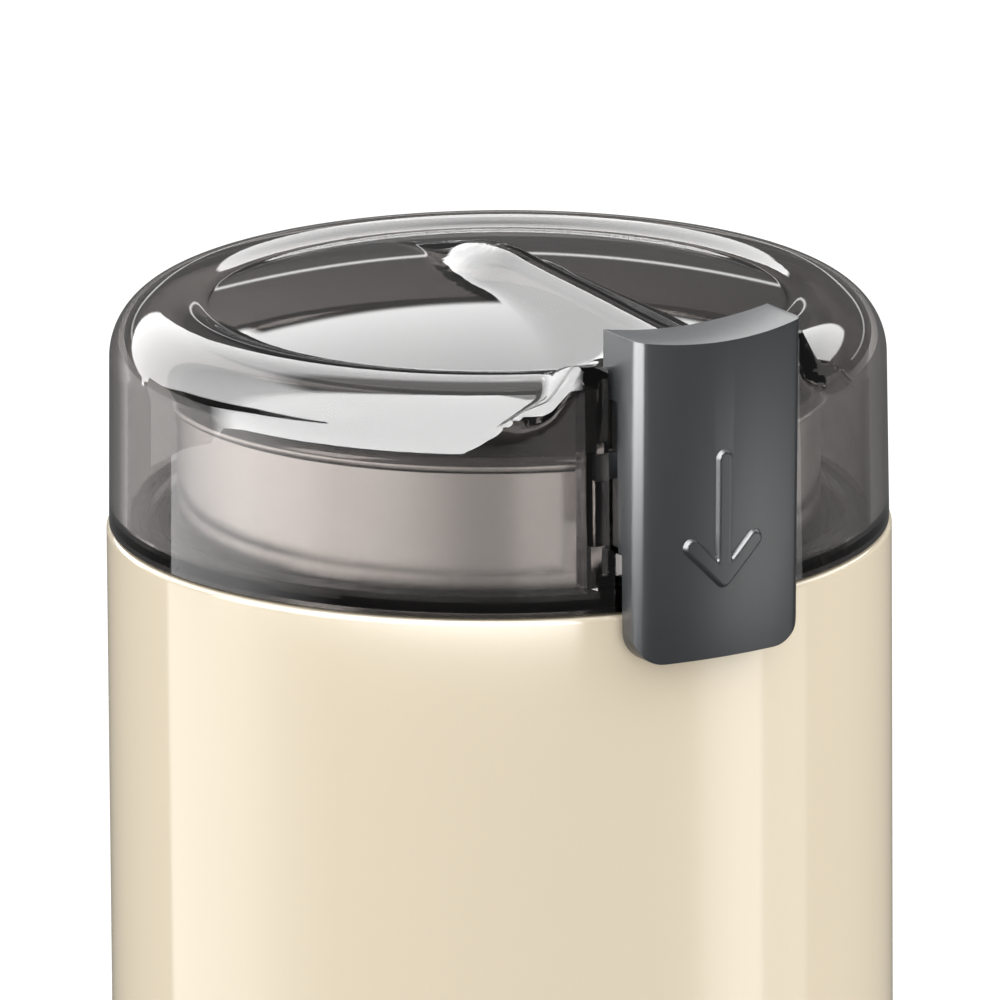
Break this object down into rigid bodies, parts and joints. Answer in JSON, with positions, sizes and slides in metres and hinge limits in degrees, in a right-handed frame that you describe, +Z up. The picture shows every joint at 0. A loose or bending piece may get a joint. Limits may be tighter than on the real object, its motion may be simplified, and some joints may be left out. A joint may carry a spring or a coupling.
{
  "type": "electric spice grinder",
  "caption": "Handheld-height electric blade grinder: round cream housing with motor, steel bowl with a winged blade, smoked domed lid and a side press button with a raised arrow.",
  "frame": {"origin": "centre of the plane that the three feet stand on, on the motor's axis", "axes": "+Z up along the motor's axis, -Y towards the press button, +Y towards the cord inlet, +X to the right when the button faces the viewer"},
  "size_m": [0.087, 0.0958, 0.1701],
  "materials": {
    "cream_plastic": "glossy",
    "smoked_plastic": "clear, smoked",
    "button_plastic": "satin",
    "dark_plastic": "satin",
    "grey_plastic": "satin",
    "white_plastic": "satin",
    "yellow_plastic": "glossy",
    "bakelite": "satin",
    "black_rubber": "matte",
    "bowl_steel": "spun and polished",
    "blade_steel": "ground",
    "shaft_steel": "ground",
    "zinc_steel": "zinc plated",
    "bracket_steel": "pressed",
    "spring_steel": "drawn wire",
    "laminations": "punched sheet",
    "copper_wire": "enamelled",
    "copper_bars": "turned",
    "bronze": "sintered",
    "brass": "turned",
    "carbon": "matte",
    "fuse_metal": "satin",
    "lead_insulation": "satin"
  },
  "bodies": {
    "base": {"housing": "cream_plastic", "base_plate": "dark_plastic", "rubber_feet": "black_rubber", "base_screws": "zinc_steel", "bowl_carrier": "grey_plastic", "carrier_screws": "zinc_steel", "grinding_bowl": "bowl_steel", "bowl_gasket": "black_rubber", "shaft_seal": "black_rubber", "upper_bracket": "bracket_steel", "lower_bracket": "bracket_steel", "upper_bearing": "bronze", "lower_bearing": "bronze", "stator_core": "laminations", "field_coils": "copper_wire", "stack_screws": "zinc_steel", "motor_dampers": "black_rubber", "mount_screws": "zinc_steel", "brush_carrier": "bakelite", "carbon_brushes": "carbon", "brush_springs": "spring_steel", "microswitch": "bakelite", "switch_screws": "zinc_steel", "capacitor": "yellow_plastic", "thermal_fuse": "fuse_metal", "motor_leads": "lead_insulation", "cord_gland": "black_rubber", "rod_spring": "spring_steel"},
    "lid": {"lid": "smoked_plastic", "button_springs": "spring_steel"},
    "button": {"press_button": "button_plastic"},
    "switch_rod": {"switch_rod": "white_plastic"},
    "switch_lever": {"switch_lever": "spring_steel"},
    "spindle": {"motor_shaft": "shaft_steel", "rotor_core": "laminations", "rotor_windings": "copper_wire", "commutator": "copper_bars", "cooling_fan": "dark_plastic", "blade_hub": "brass", "grinding_blade": "blade_steel", "blade_nut": "blade_steel"}
  },
  "joints": [
    {"name": "lid_lift", "type": "slide", "parent": "base", "child": "lid", "axis": [0, 0, 1], "range_m": [0, 0.07]},
    {"name": "button_press", "type": "slide", "parent": "lid", "child": "button", "axis": [0, 0, -1], "range_m": [0, 0.003], "stiffness_N_per_m": 400, "springref_m": -0.002, "deforming": ["button_springs"]},
    {"name": "rod_slide", "type": "slide", "parent": "base", "child": "switch_rod", "axis": [0, 0, -1], "range_m": [0, 0.003], "stiffness_N_per_m": 150, "springref_m": -0.002, "deforming": ["rod_spring"]},
    {"name": "lever_turn", "type": "hinge", "parent": "base", "child": "switch_lever", "pos_m": [-0.0155, -0.0316, 0.095], "axis": [0, 1, 0], "range_deg": [0, 11.2]},
    {"name": "spindle_turn", "type": "hinge", "parent": "base", "child": "spindle", "pos_m": [0, 0, 0.09], "axis": [0, 0, 1], "continuous": true}
  ],
  "couplings": [
    {"joint": "rod_slide", "follows": "button_press", "ratio": 1},
    {"joint": "lever_turn", "follows": "button_press", "rad_per_m": 64.516}
  ]
}
